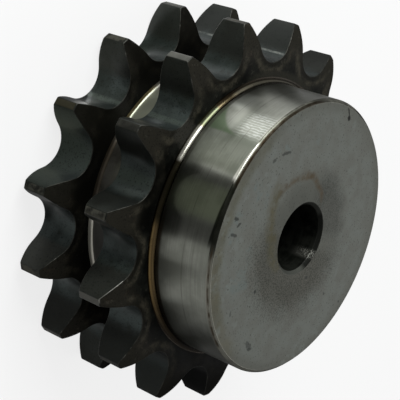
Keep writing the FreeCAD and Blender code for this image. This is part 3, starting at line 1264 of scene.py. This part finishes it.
            Nick(24.0, -11.5, 2.0, 0.75, 80, 0.55, 1.1),
            Nick(24.7, -9.5, 0.7, 0.5, 90, 0.7, 0.8),
            Nick(15.9, -36, 0.55, 0.45, 60, 0.85, 0.5),
            Nick(19.4, 61, 0.5, 0.3, 0, 0.7, 0.4),
            Nick(26.4, 67.5, 0.5, 0.3, 0, 0.7, 0.4),
            Nick(10.4, 46, 0.7, 0.4, 70, 0.7, 0.6),
            Nick(27.5, 179.2, 1.4, 0.24, 48, 0.97, 0.15, (0.006, 0.006, 0.005)),
            Nick(26.4, 177.2, 0.8, 0.6, 48, 0.97, 0.15, (0.006, 0.006, 0.005)),
        ),
    ),
    Zone.BORE_MOUTH: SteelFinish(
        dark=(0.005, 0.0055, 0.0045),
        light=(0.009, 0.0095, 0.008),
        rough=(0.4, 0.52),
        patch_size=3.0,
        metallic=0.5,
        specular=0.05,
        layers=(
            Patch((0.075, 0.078, 0.068), 0.85, side=(5, 28, 18)),
            Patch((0.036, 0.038, 0.033), 0.85, side=(172, 18, 14)),
            # Painted glints on the bore's mouth at 72 degrees
            Patch((0.18, 0.18, 0.16), 0.8, side=(72, 3, 7), grains=(0.22, 0.0)),
        ),
    ),
    Zone.BORE: SteelFinish(
        dark=(0.004, 0.0046, 0.0036),
        light=(0.012, 0.013, 0.0105),
        rough=(0.3, 0.44),
        patch_size=2.5,
        mark_spacing=0.6,
        mark_depth=0.008,
        mark_tone=0.4,
        metallic=0.3,
        specular=0.1,
        layers=(
            # Painted light on the bore's wall near its mouth round 67 degrees, with painted glints on
            # its machining streaks
            Patch((0.03, 0.03, 0.026), 0.8, side=(67, 2, 9), heights=(35.4, FAR), blur=4, wander=1),
            Patch((0.21, 0.21, 0.185), 0.9, side=(70, 2, 8), heights=(37.2, FAR), blur=4,
                  grains=(0.22, 0.0)),
        ),
    ),
    Zone.REAR_FACE: SteelFinish(
        dark=(0.07, 0.072, 0.064),
        light=(0.135, 0.14, 0.128),
        rough=(0.36, 0.5),
        lay=Lay.FACED,
        mark_spacing=0.4,
        mark_depth=0.003,
        mark_tone=0.2,
    ),
}


@dataclass(frozen=True)
class SoftLamp:
    """A flat soft lamp that is aimed at the sprocket from a direction round it."""

    name: str
    azimuth: float
    elevation: float
    distance: float
    width: float
    height: float
    power: float
    colour: Colour = (1.0, 1.0, 1.0)

    def hang(self, target: Vector) -> None:
        """Hangs the lamp.

        Args:
            target: the point it is aimed at.
        """
        around, up = math.radians(self.azimuth), math.radians(self.elevation)
        out = Vector((math.cos(around) * math.cos(up), math.sin(around) * math.cos(up), math.sin(up)))
        light = bpy.data.lights.new(self.name, "AREA")
        light.shape = "RECTANGLE"
        light.size, light.size_y = self.width, self.height
        light.energy = self.power
        light.color = self.colour
        lamp = bpy.data.objects.new(self.name, light)
        lamp.location = target + out * self.distance
        lamp.rotation_mode = "QUATERNION"
        lamp.rotation_quaternion = (-out).to_track_quat("-Z", "Y")
        lamp.visible_camera = False
        bpy.context.scene.collection.objects.link(lamp)


@dataclass(frozen=True)
class Panel:
    """A part of the room as polished steel sees it: a range of directions with one brightness."""

    azimuth: float
    half_width: float
    soft: float
    strength: float
    tint: Colour = (1.0, 1.0, 1.0)

    @property
    def glow(self) -> Colour:
        """The panel's tint at its full brightness."""
        red, green, blue = self.tint
        return (red * self.strength, green * self.strength, blue * self.strength)


@dataclass(frozen=True)
class Room:
    """A low round wall with its floor that stands in for the room in the steel's reflections.

    Only glossy rays see it. Its brightness goes by the direction from the sprocket. Each panel
    covers the ones before it.
    """

    inner_radius: float = 30.0 * MM
    outer_radius: float = 0.9
    wall_height: float = 0.42
    lift: float = 0.3 * MM
    dimmest: float = 0.04
    panels: tuple[Panel, ...] = (
        Panel(148, 14, 22, 0.32),
        Panel(20, 50, 30, 0.10),
        Panel(-45, 12, 42, 0.70),
        Panel(-43.6, 1.5, 2.5, 0.60),
        Panel(-163, 6, 26, 1.3),
        Panel(-150, 10, 14, 2.05),
        Panel(-138.8, 3.9, 0.6, 0.48, (0.90, 1.0, 0.82)),
        Panel(-124, 10.9, 0.8, 0.90, (0.97, 1.0, 0.92)),
        Panel(-128, 2.5, 4, 0.72, (0.97, 1.0, 0.92)),
        Panel(-112.6, 0.8, 0.4, 1.9),
        Panel(-107, 4.3, 0.6, 0.18),
        Panel(-91, 11.7, 2, 0.29, (0.92, 1.0, 0.78)),
        Panel(-72.3, 6.5, 3, 0.18),
    )

    def build(self) -> None:
        """Builds the floor and the wall."""
        clear_selection()
        bpy.ops.mesh.primitive_circle_add(
            vertices=ROUND_STEPS, radius=self.inner_radius, location=(0, 0, self.lift)
        )
        room = bpy.context.active_object
        room.name = "room_in_reflections"
        bpy.ops.object.transform_apply(location=True)
        bpy.ops.object.mode_set(mode="EDIT")
        bpy.ops.mesh.select_all(action="SELECT")
        bpy.ops.mesh.extrude_region_move()
        growth = self.outer_radius / self.inner_radius
        bpy.ops.transform.resize(value=(growth, growth, 1.0), center_override=(0, 0, self.lift))
        bpy.ops.mesh.extrude_region_move(TRANSFORM_OT_translate={"value": (0, 0, self.wall_height)})
        bpy.ops.object.mode_set(mode="OBJECT")
        room.data.materials.append(self.make_glow())
        for ray in ("camera", "diffuse", "transmission", "shadow", "volume_scatter"):
            setattr(room, f"visible_{ray}", False)

    def make_glow(self) -> bpy.types.Material:
        """Makes the room's material, which glows by direction."""
        sketch = Sketch("room_glow")
        colour = sketch.mix(0.0, (self.dimmest,) * 3, (0.0, 0.0, 0.0))
        for panel in self.panels:
            share = sketch.facing(panel.azimuth, panel.half_width, panel.soft)
            colour = sketch.mix(share, colour, panel.glow)
        sketch.show(sketch.put("ShaderNodeEmission", {0: colour, 1: 1.0}))
        return sketch.material


@dataclass(frozen=True)
class Studio:
    """The plain pale floor, the even light all round and the soft lamps."""

    floor_radius: float = 6.0
    floor_gap: float = 0.05 * MM
    background: Colour = (0.93, 0.93, 0.93)
    floor_seen: Colour = (0.9858, 0.9858, 0.9858)
    floor_roughness: float = 0.9
    shadow_share: float = 0.2
    world_strength: float = 0.4
    lamps: tuple[SoftLamp, ...] = (
        SoftLamp("window_lamp", -148, 28, 0.55, 0.40, 0.26, 3.0, (0.97, 1.0, 0.99)),
        SoftLamp("top_lamp", 95, 42, 0.70, 0.50, 0.40, 0.95),
    )

    def lay_floor(self) -> None:
        """Lays the floor, which glows evenly where it is seen and keeps a share of its shadows."""
        clear_selection()
        bpy.ops.mesh.primitive_circle_add(
            vertices=ROUND_STEPS,
            radius=self.floor_radius,
            fill_type="NGON",
            location=(0, 0, -self.floor_gap),
        )
        floor = bpy.context.active_object
        floor.name = "studio_floor"
        sketch = Sketch("pale_floor")
        matt: dict[str | int, Value] = {
            "Base Color": (*self.background, 1.0),
            "Roughness": self.floor_roughness,
            "Specular IOR Level": 0.0,
        }
        sketch.fill(sketch.shader, matt)
        glow = sketch.put("ShaderNodeEmission", {"Color": (*self.floor_seen, 1.0), "Strength": 1.0})
        share = sketch.math("MULTIPLY", self.seen_share(sketch), 1 - self.shadow_share)
        sketch.show(sketch.put("ShaderNodeMixShader", {0: share, 1: sketch.shader.outputs[0], 2: glow}))
        floor.data.materials.append(sketch.material)

    @staticmethod
    def seen_share(sketch: Sketch) -> Socket:
        """Gives 1 for what the camera, a gloss or a glass sees, and 0 for what lights the scene."""
        path = sketch.put("ShaderNodeLightPath", {}).node.outputs
        gloss = sketch.math("MAXIMUM", path["Is Glossy Ray"], path["Is Transmission Ray"])
        return sketch.math("MAXIMUM", path["Is Camera Ray"], gloss)

    def light_all_round(self) -> None:
        """Gives the world one even pale light."""
        world = bpy.data.worlds.new("even_light")
        bpy.context.scene.world = world
        world.use_nodes = True
        sky = world.node_tree.nodes["Background"]
        sky.inputs["Color"].default_value = (*self.background, 1.0)
        sky.inputs["Strength"].default_value = self.world_strength

    def set_up(self, target: Vector) -> None:
        """Sets up the floor and the lights.

        Args:
            target: the point that the lamps are aimed at.
        """
        self.lay_floor()
        Room().build()
        self.light_all_round()
        for lamp in self.lamps:
            lamp.hang(target)
        bpy.context.scene.view_settings.view_transform = "Standard"


@dataclass(frozen=True)
class PhotoCamera:
    """The camera, where the photograph was taken from."""

    place: Triple = (-1.65987 * MM, -210.17916 * MM, 164.47349 * MM)
    turn: tuple[float, float, float, float] = (0.50897196, 0.25799347, -0.37584687, 0.73015481)
    lens: float = 108.3168
    sensor: float = 36.0
    nearest: float = 0.01
    farthest: float = 20.0

    def set_up(self) -> None:
        """Sets the camera up and makes it the scene's camera."""
        data = bpy.data.cameras.new("photo_camera")
        data.lens = self.lens
        data.sensor_width = self.sensor
        data.clip_start, data.clip_end = self.nearest, self.farthest
        camera = bpy.data.objects.new("photo_camera", data)
        camera.location = self.place
        camera.rotation_mode = "QUATERNION"
        camera.rotation_quaternion = Quaternion(self.turn)
        bpy.context.scene.collection.objects.link(camera)
        bpy.context.scene.camera = camera


def dress(piece: bpy.types.Object) -> None:
    """Gives every zone of the body its finish.

    Args:
        piece: the body, whose faces are numbered by zone.
    """
    for zone in Zone:
        piece.data.materials.append(FINISHES[zone].make(zone.value))


def main() -> None:
    """Builds the body, dresses it, and sets up the studio and the camera."""
    logging.basicConfig(level=logging.INFO, format="%(name)s: %(message)s")
    body = SprocketBody(teeth=TEETH)
    piece = body.build()
    dress(piece)
    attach(piece, "root")
    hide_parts("sprocket")
    mesh = piece.data
    LOG.info("%s: %d vertices, %d faces", piece.name, len(mesh.vertices), len(mesh.polygons))
    studio = Studio()
    studio.set_up(Vector((0, 0, body.overall_length / 2)))
    LOG.info("studio: floor, even light and %d lamps", len(studio.lamps))
    PhotoCamera().set_up()


if __name__ == "__main__":
    main()
